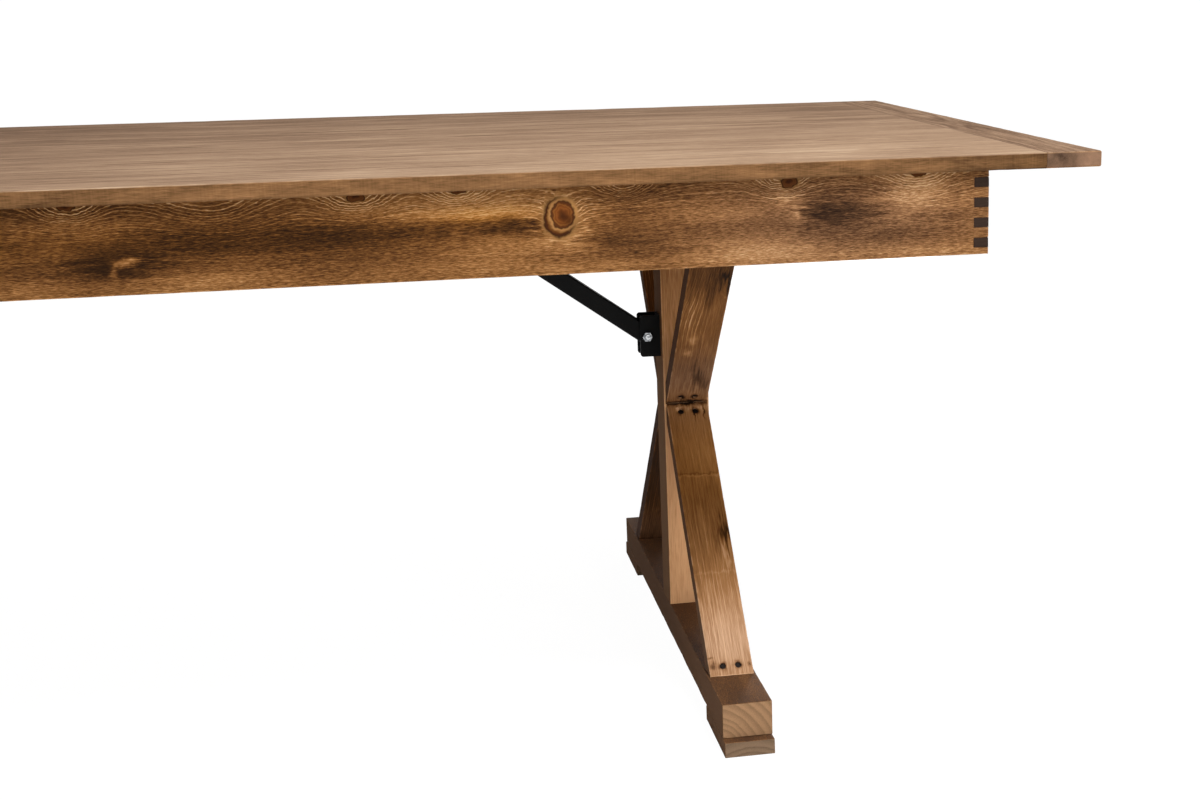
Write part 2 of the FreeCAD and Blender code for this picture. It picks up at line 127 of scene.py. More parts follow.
# %% Helpers for materials
def linear(hex_code):
    """Linear red, green, blue and alpha of an sRGB hex colour."""
    channels = [int(hex_code[k:k + 2], 16) / 255 for k in (1, 3, 5)]
    return [c / 12.92 if c <= 0.04045 else ((c + 0.055) / 1.055) ** 2.4 for c in channels] + [1.0]


def feed(tree, node, inputs):
    """Set or link sockets of a node, by name or number."""
    for socket, value in inputs.items():
        if isinstance(socket, str):
            target = next(s for s in node.inputs if s.name == socket and s.enabled)
        else:
            target = node.inputs[socket]
        if isinstance(value, bpy.types.Node):
            value = next(s for s in value.outputs if s.enabled)
        if isinstance(value, bpy.types.NodeSocket):
            tree.links.new(value, target)
        elif isinstance(value, str):
            target.default_value = linear(value)
        else:
            target.default_value = value


def add(tree, kind, inputs=None, stops=None, **settings):
    """One node with its settings, what feeds its sockets and, for a ramp, its stops.

    For a math node the kind ends with the operation, as in "Math ADD".
    """
    kind, _, operation = kind.partition(" ")
    node = tree.nodes.new("ShaderNode" + kind)
    if operation:
        settings["operation"] = operation
    for key, value in settings.items():
        setattr(node, key, value)
    feed(tree, node, inputs or {})
    if stops:
        node.color_ramp.elements.remove(node.color_ramp.elements[1])
    for k, (place, colour) in enumerate(stops or ()):
        spot = node.color_ramp.elements.new(place) if k else node.color_ramp.elements[0]
        spot.position = place
        spot.color = linear(colour) if isinstance(colour, str) else (colour, colour, colour, 1)
    return node


def even_stops(hues):
    """Stops for a ramp that runs through some colours at even steps."""
    return [(k / (len(hues) - 1), hue) for k, hue in enumerate(hues)]


def blank_material(name):
    """A material with its surface shader, ready for a pattern."""
    material = bpy.data.materials.new(name)
    material.use_nodes = True
    tree = material.node_tree
    shader = next(n for n in tree.nodes if n.type == "BSDF_PRINCIPLED")
    return material, tree, shader


print("screen grey #808080 in linear light:", round(linear("#808080")[0], 3))

# %% [markdown]
# ## Floor and backdrop
#
# A studio floor is a roll of pale paper that sweeps up behind the object. A floor and a wall
# would meet in a line, so a profile is spun through a quarter turn and drawn out sideways. The
# paper glows only for what the camera sees, directly or in a reflection: it looks white, still
# takes a shadow, and throws no extra light on the table.

# %% Floor and backdrop
PAPER_LEFT, PAPER_WIDTH = -14, 28
PAPER_FRONT, SWEEP_START, SWEEP_RADIUS, PAPER_TOP = -6, 5, 3, 12
SWEEP_STEPS = 16
PAPER_GLOW, GLOW_SHARE = 1.08, 0.9


def seen_straight(tree):
    """1 for what the camera sees, also in a reflection; 0 for lighting."""
    path = add(tree, "LightPath").outputs
    seen = add(tree, "Math MAXIMUM", {0: path["Is Camera Ray"], 1: path["Is Glossy Ray"]})
    return add(tree, "Math MAXIMUM", {0: seen, 1: path["Is Transmission Ray"]})


def make_paper_mesh():
    """Floor, sweep and wall in one sheet, its front edge low."""
    bm = bmesh.new()
    start = bm.verts.new((PAPER_LEFT, PAPER_FRONT, 0))
    corner = bm.verts.new((PAPER_LEFT, SWEEP_START, 0))
    bm.edges.new((start, corner))
    sweep = bmesh.ops.spin(
        bm, geom=[corner], cent=(PAPER_LEFT, SWEEP_START, SWEEP_RADIUS), axis=ALONG_X,
        dvec=(0, 0, 0), angle=pi / 2, steps=SWEEP_STEPS, use_merge=False)
    last = [v for v in sweep["geom_last"] if isinstance(v, bmesh.types.BMVert)][0]
    top = bm.verts.new((PAPER_LEFT, SWEEP_START + SWEEP_RADIUS, PAPER_TOP))
    bm.edges.new((last, top))
    wide = bmesh.ops.extrude_edge_only(bm, edges=bm.edges[:])
    moved = [v for v in wide["geom"] if isinstance(v, bmesh.types.BMVert)]
    bmesh.ops.translate(bm, verts=moved, vec=(PAPER_WIDTH, 0, 0))
    bmesh.ops.remove_doubles(bm, verts=bm.verts, dist=MM)
    mesh = bpy.data.meshes.new("studio_paper")
    bm.to_mesh(mesh)
    bm.free()
    mesh.shade_smooth()
    return mesh


def matt_paper():
    """Uncoated white paper: rough, with hardly any shine."""
    material, tree, shader = blank_material("matt_white_paper")
    feed(tree, shader, {"Base Color": "#f4f4f3", "Roughness": 0.9, "Specular IOR Level": 0.2})
    glow = add(tree, "Emission", {"Color": "#ffffff", "Strength": PAPER_GLOW})
    share = add(tree, "Math MULTIPLY", {0: seen_straight(tree), 1: GLOW_SHARE})
    both = add(tree, "MixShader", {0: share, 1: shader.outputs[0], 2: glow})
    output = next(n for n in tree.nodes if n.type == "OUTPUT_MATERIAL")
    feed(tree, output, {"Surface": both})
    return material


paper = new_object("studio_paper", make_paper_mesh())
paper.data.materials.append(matt_paper())
print("paper faces:", len(paper.data.polygons))

# %% [markdown]
# ## Lamps
#
# A large square lamp gives soft shadows, as a softbox does. The main one stands high on the
# right, a weaker one low in front lights the apron and the leg, and two faint ones open the
# shadows at the left and behind. The room itself adds a dim, even light.

# %% Lamps and room light
ROOM_LEVEL = 0.35


def make_lamp(name, place, aim, size, watts):
    """Square softbox that faces a point."""
    light = bpy.data.lights.new(name, "AREA")
    light.shape = "SQUARE"
    light.size = size
    light.energy = watts
    lamp = new_object(name, light)
    lamp.matrix_world = Matrix.Translation(place)
    lamp.rotation_euler = (Vector(aim) - Vector(place)).to_track_quat("-Z", "Y").to_euler()


make_lamp("key_softbox", (1.6, -2.4, 4.2), (0.6, 0, 0.5), 1.1, 155)
make_lamp("front_softbox", (3.0, -3.9, 1.9), (0.6, 0, 0.5), 2.2, 75)
make_lamp("fill_softbox", (-3.6, -2.6, 1.8), (0.4, 0, 0.5), 2.4, 20)
make_lamp("rear_softbox", (2.4, 3.6, 0.36), (0, 0, 0.36), 0.7, 40)
world = bpy.data.worlds.new("soft_room")
world.use_nodes = True
bpy.context.scene.world = world
room = world.node_tree
level = add(room, "MapRange", {"Value": seen_straight(room), "To Min": ROOM_LEVEL, "To Max": 1.0})
feed(room, room.nodes["Background"], {"Color": "#ffffff", "Strength": level})
print("lamps:", len(bpy.data.lights))

# %% [markdown]
# ## Spots, sums and noise
#
# Stain, wear and knots start from a few kinds of pattern: soft spots at known places, cloud
# noise drawn out along the grain, as everything in wood is, and sums of them. With these a
# material is a list of what darkens the wood and what pales it, and by how much.

# %% Spots, sums and noise
FADE = 1 / 2.718  # what is left of a spot at its reach


def soft_spot(tree, place, centre, reach):
    """1 at a centre, fading to 0 over a reach along each axis, all in metres."""
    scale = [1 / r for r in reach]
    shift = [-c / r for c, r in zip(centre, reach)]
    offset = add(tree, "VectorMath MULTIPLY_ADD", {0: place, 1: scale, 2: shift})
    square = add(tree, "VectorMath DOT_PRODUCT", {0: offset, 1: offset})
    return add(tree, "Math POWER", {0: FADE, 1: square})


def total(tree, terms, start=0.0):
    """Sum of (value, weight) pairs."""
    result = start
    for value, weight in terms:
        result = add(tree, "Math MULTIPLY_ADD", {0: value, 1: weight, 2: result})
    return result


def centred(tree, figure, level, **weights):
    """Sum of a board's patterns, which each average one half, that averages a level."""
    return total(tree, [(figure[name], weight) for name, weight in weights.items()],
                 level - sum(weights.values()) / 2)


def spot_terms(tree, place, spots):
    """Terms for a sum, from ((centre, reach), weight) pairs."""
    return [(soft_spot(tree, place, *spot), weight) for spot, weight in spots]


def streaky_noise(tree, board, size, seed=0.0, roughness=0.55, spread=0.16):
    """Noise stretched along the grain, sizes in mm, its usual span drawn out to 0..1."""
    scaled = add(tree, "VectorMath MULTIPLY_ADD",
                 {0: board, 1: [1 / s for s in size], 2: (seed, seed, -seed)})
    cloud = add(tree, "TexNoise",
                {"Vector": scaled, "Scale": 1.0, "Detail": 3.0, "Roughness": roughness})
    return add(tree, "MapRange", {"Value": cloud.outputs[0], "From Min": 0.5 - spread,
                                  "From Max": 0.5 + spread})


print("a spot keeps", round(FADE, 2), "of its strength at its reach")

# %% [markdown]
# ## Pine as it grows
#
# A plank is a straight cut through a cone of growth rings. So the figure isn't painted on:
# it is worked out in three dimensions, as the distance of each point from the pith, the
# tree's centre line. A flat-sawn face then shows arches, a quarter-sawn one shows stripes,
# and the end of the board shows arcs, with nothing mapped or unwrapped. A knot draws the
# rings towards it. Brushed and stained pine keeps pale lines where the hard late wood of each
# ring took little stain, so each ring is drawn as a thin pale line on brown.
#
# Two things are coarser than real, because they wouldn't show. A wood fibre is 0.03 mm wide
# and is drawn 1 mm wide, a fleck 0.6 mm. Rings stand 3 to 9 mm apart, as in the fastest pine.

# %% The figure of one board
RAGGED = 9 * MM  # how far the rim of a spot wanders
STAIN_RUN = 50 * MM  # how far stain creeps along the grain


def board_space(tree, grain, pith):
    """Object place, and the same in mm with x along the grain and the pith at zero."""
    turn = grain.normalized().rotation_difference(ALONG_X)
    place = add(tree, "TexCoord").outputs["Object"]
    board = add(tree, "Mapping", {"Vector": place, "Rotation": turn.to_euler(),
                                  "Location": -(turn @ Vector(pith)) / MM,
                                  "Scale": (1 / MM,) * 3})
    return place, board


def pith_distance(tree, board, waves, seed):
    """Distance in mm from a pith that wanders by some mm, as a real tree's does."""
    slow = add(tree, "VectorMath MULTIPLY_ADD",
               {0: board, 1: (1 / 260, 1 / 70, 1 / 70), 2: (seed,) * 3})
    drift = add(tree, "TexNoise", {"Vector": slow, "Scale": 1.0, "Detail": 2.0, "Roughness": 0.5})
    wander = add(tree, "VectorMath MULTIPLY_ADD",
                 {0: drift.outputs["Color"], 1: (0, waves, waves), 2: (0, -waves / 2, -waves / 2)})
    bent = add(tree, "VectorMath ADD", {0: board, 1: wander})
    flat = add(tree, "VectorMath MULTIPLY", {0: bent, 1: (0, 1, 1)})
    return add(tree, "VectorMath LENGTH", {0: flat})


def spot_places(tree, place, board, grain, seed):
    """Place with a ragged rim for knots and marks, and one drawn out for soaked stain."""
    ruffle = add(tree, "TexNoise", {"Vector": board, "Scale": 1 / 9, "Detail": 2.0})
    jitter = add(tree, "VectorMath MULTIPLY_ADD",
                 {0: ruffle.outputs["Color"], 1: (RAGGED,) * 3, 2: (-RAGGED / 2,) * 3})
    near = add(tree, "VectorMath ADD", {0: place, 1: jitter})
    creep = streaky_noise(tree, board, (60, 5, 5), seed)
    run = total(tree, [(creep, STAIN_RUN)], -STAIN_RUN / 2)
    crept = add(tree, "VectorMath SCALE", {0: grain, "Scale": run})
    return near, add(tree, "VectorMath ADD", {0: near, 1: crept})


def pine_figure(tree, grain, pith, ring, waves, lifts, seed, fibre):
    """Sockets for one board's rings, fibres and stain, for a grain direction and a pith (m)."""
    place, board = board_space(tree, grain, pith)
    near, soaked = spot_places(tree, place, board, grain, seed)
    radius = pith_distance(tree, board, waves, seed)
    radius = total(tree, spot_terms(tree, near, lifts), radius)
    shake = streaky_noise(tree, board, (30, 5, 5), seed)
    radius = total(tree, [(shake, 0.9)], radius)
    # Good and bad years: the count of rings runs ahead and falls behind.
    turns = add(tree, "Math DIVIDE", {0: radius, 1: ring})
    seasons = add(tree, "TexNoise", {"W": total(tree, [(turns, 0.21)], seed), "Scale": 1.0},
                  noise_dimensions="1D")
    turns = total(tree, [(seasons, 2.6)], turns)
    phase = add(tree, "Math FRACT", {0: turns})
    year = add(tree, "Math FLOOR", {0: turns})
    growth = add(tree, "TexWhiteNoise", {"W": year}, noise_dimensions="1D")
    strength = add(tree, "MapRange", {"Value": growth.outputs["Value"], "To Min": 0.25})
    line = add(tree, "ValToRGB", {0: phase},
               stops=[(0, 0), (0.58, 0), (0.78, 1), (0.88, 0.9), (0.97, 0)])
    rings = add(tree, "Math MULTIPLY", {0: line, 1: strength})
    late = add(tree, "ValToRGB", {0: phase}, stops=[(0, 0), (0.25, 0), (0.85, 1), (1, 0)])
    return {"place": place, "near": near, "soaked": soaked, "board": board,
            "rings": rings.outputs[0], "late": late.outputs[0],
            "rub": streaky_noise(tree, board, (14, 14, 14), seed),
            "fibres": streaky_noise(tree, board, (fibre, 1.0, 1.0), seed, roughness=0.65),
            "flecks": streaky_noise(tree, board, (fibre / 2, 0.6, 0.6), -seed, spread=0.12),
            "streaks": streaky_noise(tree, board, (170, 6, 6), seed),
            "stain": streaky_noise(tree, board, (190, 42, 42), seed, roughness=0.42, spread=0.22)}


print("spots have rims ragged by", RAGGED / MM, "mm; stain creeps up to", STAIN_RUN / 2 / MM, "mm")

# %% [markdown]
# ## Edges, ends and brushing
#
# Hands rub the stain off a board's arrises, its sharp long edges. They are found from the
# board's own box: a point near an arris is close to two faces at once. End grain is found
# from the normal, which there runs along the grain. Wire brushing leaves ridges so fine that
# a little bump is enough for them.

# %% Edges, ends and brushing
RUB_STARTS, RUB_FULL = 2.2 * MM, 0.4 * MM


def extent(nodes, axes):
    """Low and high reach, along each axis, of CAD nodes taken together."""
    verts = [v.co for node in nodes for v in NODES[node].data.vertices]
    spans = [[co.dot(axis) for co in verts] for axis in axes]
    return Vector(map(min, spans)), Vector(map(max, spans))


def board_axes(grain):
    """Directions along a board, across it and through it."""
    side = ALONG_X if abs(grain.x) < 0.5 else ALONG_Y
    return grain, side, grain.cross(side)


def arris(tree, place, grain, nodes):
    """1 on the arrises of a board, or of several that form one slab; 0 from 2 mm inside."""
    axes = board_axes(grain)
    low, high = extent(nodes, axes)
    depths = []
    for axis, start, end in zip(axes, low, high):
        reach = add(tree, "VectorMath DOT_PRODUCT", {0: place, 1: axis})
        offset = add(tree, "Math SUBTRACT", {0: reach, 1: (start + end) / 2})
        size = add(tree, "Math ABSOLUTE", {0: offset})
        depths.append(add(tree, "Math SUBTRACT", {0: (end - start) / 2, 1: size}))
    small = add(tree, "Math MINIMUM", {0: depths[1], 1: depths[2]})
    large = add(tree, "Math MAXIMUM", {0: depths[1], 1: depths[2]})
    inner = add(tree, "Math MINIMUM", {0: large, 1: depths[0]})
    middle = add(tree, "Math MAXIMUM", {0: small, 1: inner})
    return add(tree, "MapRange", {"Value": middle, "From Min": RUB_STARTS, "From Max": RUB_FULL})


def facing(tree, direction):
    """1 on the faces square to a direction, 0 on the others."""
    normal = add(tree, "TexCoord").outputs["Normal"]
    along = add(tree, "VectorMath DOT_PRODUCT", {0: normal, 1: direction.normalized()})
    size = add(tree, "Math ABSOLUTE", {0: along})
    return add(tree, "MapRange", {"Value": size, "From Min": 0.75, "From Max": 0.95})


def sawn_ends(tree, colour, grain, hue, cut):
    """A colour that gives way to that of the end grain, shaded by a pattern, at the ends."""
    sawn = add(tree, "VectorMath SCALE", {0: linear(hue)[:3], "Scale": cut})
    return add(tree, "Mix", {"Factor": facing(tree, grain), "A": colour, "B": sawn},
               data_type="RGBA")


def brushed_relief(tree, figure, depth):
    """Ridges of late wood and open fibres, as wire brushing leaves them; depth in mm."""
    height = total(tree, [(figure["rings"], 0.5), (figure["fibres"], 0.6),
                          (figure["flecks"], 0.4)])
    return add(tree, "Bump", {"Height": height, "Strength": 0.5, "Distance": depth * MM})


low, high = extent(["apron_front"], board_axes(ALONG_X))
print("front apron, along, across and through it:", [round(size, 4) for size in high - low])

# %% [markdown]
# ## Stained pine of the apron and the legs
#
# The frame is softwood, wire brushed, stained walnut brown and waxed. Pine takes stain
# unevenly, so the brown runs from honey to nearly black in soft clouds that follow the
# grain. The colour is one walk along a ramp, moved by a sum of stain clouds, streaks, fibres,
# ring lines and known dark and pale patches. A knot is a small target of brown rings over it.
# Brushed and waxed fibres scatter light, so roughness is high and the specular level low.

# %% Colours of stained pine
BROWNS = ("#201207", "#41270f", "#6f4724", "#9b6c40", "#c6996f")
GOLDS = ("#201207", "#412710", "#6f4825", "#9b6d40", "#c29a6d")
# The post's browns run paler than the others: its own pale wood, and painted light that lifts it
# where the top's shadow falls on it.
POST_BROWNS_AND_LIGHT = ("#3d2510", "#6b4424", "#97683f", "#c08a5a", "#dba87a")
KNOT_RINGS = [
    (0.0, "#bb8a52"), (0.3, "#b8844c"), (0.4, "#4a2c15"), (0.48, "#5a3013"), (0.56, "#855022"),
    (0.65, "#6e3c17"), (0.75, "#824a1e"), (0.87, "#643513"), (1.0, "#4c280f")]
KNOT_RIM, KNOT_INSIDE = 0.18, 0.34  # strength of a spot where its knot begins and covers
SMALL_MARK = 7 * MM  # smaller marks keep their shape, larger ones soak along the grain


def stained_walk(tree, figure, worn, tone, contrast, lines, patches):
    """Where along its ramp of browns each point of a board lies, from dark 0 to pale 1."""
    walk = centred(tree, figure, tone, stain=0.34 * contrast, streaks=0.05 * contrast,
                   fibres=0.22 * contrast, flecks=0.32 * contrast)
    rubbed = add(tree, "Math MULTIPLY", {0: worn, 1: figure["rub"]})
    walk = total(tree, [(lines, 0.6), (rubbed, 0.34)], walk)
    for (centre, reach), weight in patches:
        place = figure["soaked"] if min(reach) > SMALL_MARK else figure["near"]
        walk = total(tree, [(soft_spot(tree, place, centre, reach), weight)], walk)
    return walk


def draw_knots(tree, near, colour, knots, burnt):
    """Targets of brown rings over the colour, with burnt spots on their rims."""
    for spot, paleness in knots:
        heart = soft_spot(tree, near, *spot)
        target = add(tree, "ValToRGB", {0: heart}, stops=KNOT_RINGS)
        target = add(tree, "VectorMath SCALE", {0: target, "Scale": paleness})
        inside = add(tree, "MapRange",
                     {"Value": heart, "From Min": KNOT_RIM, "From Max": KNOT_INSIDE})
        colour = add(tree, "Mix", {"Factor": inside, "A": colour, "B": target}, data_type="RGBA")
    if burnt:
        shade = total(tree, spot_terms(tree, near, burnt), 1.0)
        colour = add(tree, "VectorMath SCALE", {0: colour, "Scale": shade})
    return colour


print("colours in a knot:", len(KNOT_RINGS))

# %% [markdown]
# Each board gets a material of its own, because the grain has another direction in each, and
# the rings another centre.


# %% Stained pine
def stained_pine(node, axis, grain, pith, browns=BROWNS, contrast=1.0, tone=0.5, line=0.3,
                 end="#8f6a4c", ring=3.2, waves=12.0, fibre=12.0, end_lines=0.3, seed=0.0,
                 lifts=(), bold=(), patches=(), knots=(), burnt=(), vivid=(), side_tint_and_shade=None,
                 wash=None):
    """Stained, waxed pine. tone moves the whole board from dark (0) to pale (1)."""
    material, tree, shader = blank_material("stained_pine_" + node)
    figure = pine_figure(tree, grain, pith, ring, waves, lifts, seed, fibre)
    near = figure["near"]
    boldness = total(tree, spot_terms(tree, near, bold), line)
    lines = add(tree, "Math MULTIPLY", {0: figure["rings"], 1: boldness}, use_clamp=True)
    worn = arris(tree, figure["place"], axis, [node])
    walk = stained_walk(tree, figure, worn, tone, contrast, lines, patches)
    colour = add(tree, "ValToRGB", {0: walk}, stops=even_stops(browns))
    deep = total(tree, spot_terms(tree, near, vivid), 1.0)
    colour = add(tree, "HueSaturation", {"Saturation": deep, "Color": colour})
    flank = facing(tree, ALONG_X)
    # A colour laid over the faces that look along x: on the post painted shade, on the arms
    # painted shade with a greyer colour, on the feet a greyer tint.
    if side_tint_and_shade:
        share = add(tree, "Math MULTIPLY", {0: flank, 1: 0.8})
        colour = add(tree, "Mix", {"Factor": share, "A": colour, "B": side_tint_and_shade}, data_type="RGBA")
    if wash:
        colour = add(tree, "Mix", {"Factor": 0.5, "A": colour, "B": wash}, data_type="RGBA")
    colour = draw_knots(tree, near, colour, knots, burnt)
    cut = centred(tree, figure, 1.0, fibres=0.16, flecks=0.2)
    cut = total(tree, [(figure["late"], -end_lines)], cut)
    colour = sawn_ends(tree, colour, grain, end, cut)
    waxed = add(tree, "MapRange", {"Value": figure["fibres"], "To Min": 0.5, "To Max": 0.68})
    rough = add(tree, "MapRange", {"Value": flank, "To Min": waxed, "To Max": 0.9})
    feed(tree, shader, {"Base Color": colour, "Roughness": rough, "Specular IOR Level": 0.05,
                        "Normal": brushed_relief(tree, figure, 0.2)})
    return material


print("stained pine walks through", len(BROWNS), "browns")

# %% [markdown]
# ## The washed top
#
# The top was sanded after staining and waxed with a greyish wax, so its figure is faint and
# its colour a dusty brown. Its edges kept the warm stain, in blotches, with the faint upright
# marks of the saw. The material tells face from edge by height: the top face starts just
# under the highest point of the boards.

# %% Colours of the top
PLANKS = ["top_plank_%d" % (k + 1) for k in range(5)]
CAPS = ["breadboard_left", "breadboard_right"]
SLAB = PLANKS + CAPS
TOP_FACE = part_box("top_plank_3")[1].z
FACES = ("#523c2b", "#765b46", "#957860", "#b19377", "#c8ad92")
EDGES = ("#412c1b", "#63462b", "#805c3b", "#9a714c")
END_GRAIN = "#6b5240"
TOP_RING, TOP_WAVES, TOP_FIBRE = 5.0, 20.0, 22.0  # mm
SAW_STEP = 2.2  # mm from one mark of the saw to the next
FACE_STARTS, FACE_FULL = 1.6 * MM, 0.5 * MM  # under the highest point


def top_face(tree, figure, rubbed, seam, tone, patches):
    """Colour of the sanded and waxed upper face."""
    walk = centred(tree, figure, tone, streaks=0.26, stain=0.24, late=-0.26, fibres=0.26,
                   flecks=0.12)
    walk = total(tree, [(figure["rings"], 0.08), (rubbed, 0.3), (seam, -0.3)], walk)
    walk = total(tree, spot_terms(tree, figure["near"], patches), walk)
    return add(tree, "ValToRGB", {0: walk}, stops=even_stops(FACES))


def top_edge(tree, figure, rubbed, grain, edges, seed):
    """Colour of the boards' edges, and of their ends, which drank more stain."""
    figure["blotch"] = streaky_noise(tree, figure["board"], (60, 16, 16), seed, spread=0.25)
    figure["saw"] = streaky_noise(tree, figure["board"], (SAW_STEP, 60, 60), seed)
    walk = centred(tree, figure, 0.5, blotch=0.5, fibres=0.24, flecks=0.24, saw=0.1)
    clouds = spot_terms(tree, figure["near"], edges)
    walk = total(tree, clouds + [(rubbed, 0.3)], walk)
    side = add(tree, "ValToRGB", {0: walk}, stops=even_stops(EDGES))
    cut = total(tree, clouds, centred(tree, figure, 1.0, rub=0.5, flecks=0.35))
    return sawn_ends(tree, side, grain, END_GRAIN, cut)


print("the top face lies at", round(TOP_FACE, 4), "m")

# %% [markdown]
# Where two boards of the top meet, the wax leaves a thin dark line. It is found as an arris
# of one board that isn't an arris of the whole slab.


# %% Washed pine
def washed_pine(node, axis, grain, pith, tone, seed, patches=(), edges=()):
    """Sanded and grey-waxed top face over warm brown edges."""
    material, tree, shader = blank_material("washed_pine_" + node)
    figure = pine_figure(tree, grain, pith, TOP_RING, TOP_WAVES, (), seed, TOP_FIBRE)
    worn = arris(tree, figure["place"], axis, SLAB)
    seam = add(tree, "Math SUBTRACT", {0: arris(tree, figure["place"], axis, [node]), 1: worn})
    rubbed = add(tree, "Math MULTIPLY", {0: worn, 1: figure["rub"]})
    face = top_face(tree, figure, rubbed, seam, tone, patches)
    side = top_edge(tree, figure, rubbed, grain, edges, seed)
    height = add(tree, "SeparateXYZ", {0: figure["place"]}).outputs["Z"]
    upper = add(tree, "MapRange", {"Value": height, "From Min": TOP_FACE - FACE_STARTS,
                                   "From Max": TOP_FACE - FACE_FULL})
    colour = add(tree, "Mix", {"Factor": upper, "A": side, "B": face}, data_type="RGBA")
    feed(tree, shader, {"Base Color": colour, "Roughness": 0.75, "Specular IOR Level": 0.05,
                        "Normal": brushed_relief(tree, figure, 0.08)})
    return material


print("washed pine is ready for", len(SLAB), "boards")

# %% [markdown]
# ## Steel
#
# The strut and its brackets are cold-formed steel in matt black powder coat: nearly black,
# with the fine orange peel of baked powder. Bolts, nuts and hinges are zinc plated, which
# is a bright, slightly blue metal with soft reflections. The arm screws are phosphated, so
# they are grey-black down in their holes.
# On the bolts and nuts the zinc's strong light and dark mottle is painted glints, reflections
# painted into the colour.

# %% Steel finishes
PEEL, DUST, MOTTLE_AND_GLINT_SIZE = 2.5 * MM, 100 / 3 * MM, 4 * MM  # waves, clouds and mottles


def powder_coat():
    """Matt black powder over steel."""
    material, tree, shader = blank_material("black_powder_coat")
    place = add(tree, "TexCoord").outputs["Object"]
    peel = add(tree, "TexNoise", {"Vector": place, "Scale": 1 / PEEL, "Detail": 2.0})
    dust = add(tree, "TexNoise", {"Vector": place, "Scale": 1 / DUST, "Detail": 3.0})
    colour = add(tree, "ValToRGB", {0: dust}, stops=[(0.35, "#040404"), (0.7, "#0b0a09")])
    rough = add(tree, "MapRange", {"Value": dust, "To Min": 0.5, "To Max": 0.65})
    bump = add(tree, "Bump", {"Height": peel, "Strength": 0.3, "Distance": 0.1 * MM})
    feed(tree, shader, {"Base Color": colour, "Roughness": rough, "Specular IOR Level": 0.15,
                        "Normal": bump})
    return material


def plated(name, pale, dull, low, high):
    """Zinc or phosphate over steel, with a mottle: the bath's mottling, and on the bright zinc
    painted glints.
    """
    material, tree, shader = blank_material(name)
    place = add(tree, "TexCoord").outputs["Object"]
    mottle_and_glints = add(tree, "TexNoise", {"Vector": place, "Scale": 1 / MOTTLE_AND_GLINT_SIZE, "Detail": 3.0})
    colour = add(tree, "ValToRGB", {0: mottle_and_glints}, stops=[(0.35, dull), (0.65, pale)])
    rough = add(tree, "MapRange", {"Value": mottle_and_glints, "To Min": low, "To Max": high})
    feed(tree, shader, {"Base Color": colour, "Roughness": rough, "Metallic": 1.0})
    return material


POWDER = powder_coat()
# The bright zinc's hard pale and dark mottle stands for glints: painted reflections.
ZINC = plated("bright_zinc_plate", "#dfe1e3", "#6c6f73", 0.12, 0.24)
HINGE_ZINC = plated("dull_zinc_plate", "#a9a9a6", "#83827e", 0.35, 0.55)
PHOSPHATE = plated("phosphated_screw_steel", "#26211f", "#15110f", 0.5, 0.7)
print("steel finishes:", [m.name for m in (POWDER, ZINC, HINGE_ZINC, PHOSPHATE)])

# %% [markdown]
# ## Softened copies of the CAD pieces
#
# A real corner catches the light in a thin line, and the CAD solids' ideal corners don't. So
# each shown piece is a merged copy of its CAD mesh with its sharp edges bevelled. A Bevel
# modifier would do that too, but here vertices move afterwards, so the bevel is in the mesh.
# Long boards are also sliced across the grain, to have vertices to move.


# %% Softening
def merged_copy(node):
    """A CAD node's mesh as one skin, with its flat faces whole again."""
    bm = bmesh.new()
    bm.from_mesh(NODES[node].data)
    bmesh.ops.remove_doubles(bm, verts=bm.verts, dist=0.01 * MM)
    bmesh.ops.dissolve_limit(bm, angle_limit=radians(0.5), verts=bm.verts, edges=bm.edges)
    return bm


def soften(bm, offset):
    """Bevel every edge that the CAD model leaves sharp."""
    bm.normal_update()
    sharp = [e for e in bm.edges if len(e.link_faces) == 2 and e.calc_face_angle(0) > radians(35)]
    bmesh.ops.bevel(bm, geom=sharp, offset=offset, offset_type="OFFSET", segments=2,
                    profile=0.5, affect="EDGES", material=-1, clamp_overlap=True)


def slice_across(bm, grain, step):
    """Loops square to the grain, so that a long face has vertices to move."""
    reach = [v.co.dot(grain) for v in bm.verts]
    count = floor((max(reach) - min(reach)) / step)
    for k in range(1, count):
        at = min(reach) + (max(reach) - min(reach)) * k / count
        bmesh.ops.bisect_plane(bm, geom=bm.verts[:] + bm.edges[:] + bm.faces[:],
                               plane_co=grain * at, plane_no=grain, dist=1e-7)


trial = merged_copy("post_right")
print("corners of a post as a CAD solid:", len(trial.verts))
soften(trial, 0.8 * MM)
print("and softened:", len(trial.verts))
trial.free()

# %% [markdown]
# ## Wear
#
# Sawn wood has arrises that were sanded by hand and knocked in use. Vertices near an arris
# sink into the wood by an uneven amount: a slow noise for the sanding, and now and then a
# quick one for a knock. Nothing moves outwards, so no piece grows past its real size.

# %% Wear
WORN_WIDTH = 4 * MM  # how far from an arris the wear ends
RUB_WAVES, KNOCK_WAVES, CHIP_WAVES = 28, 90, 110  # per metre
KNOCKS_FROM, KNOCK_DEPTH = 0.25, 1.6
LEAST_CHIP = 0.15
SEEDS = 97


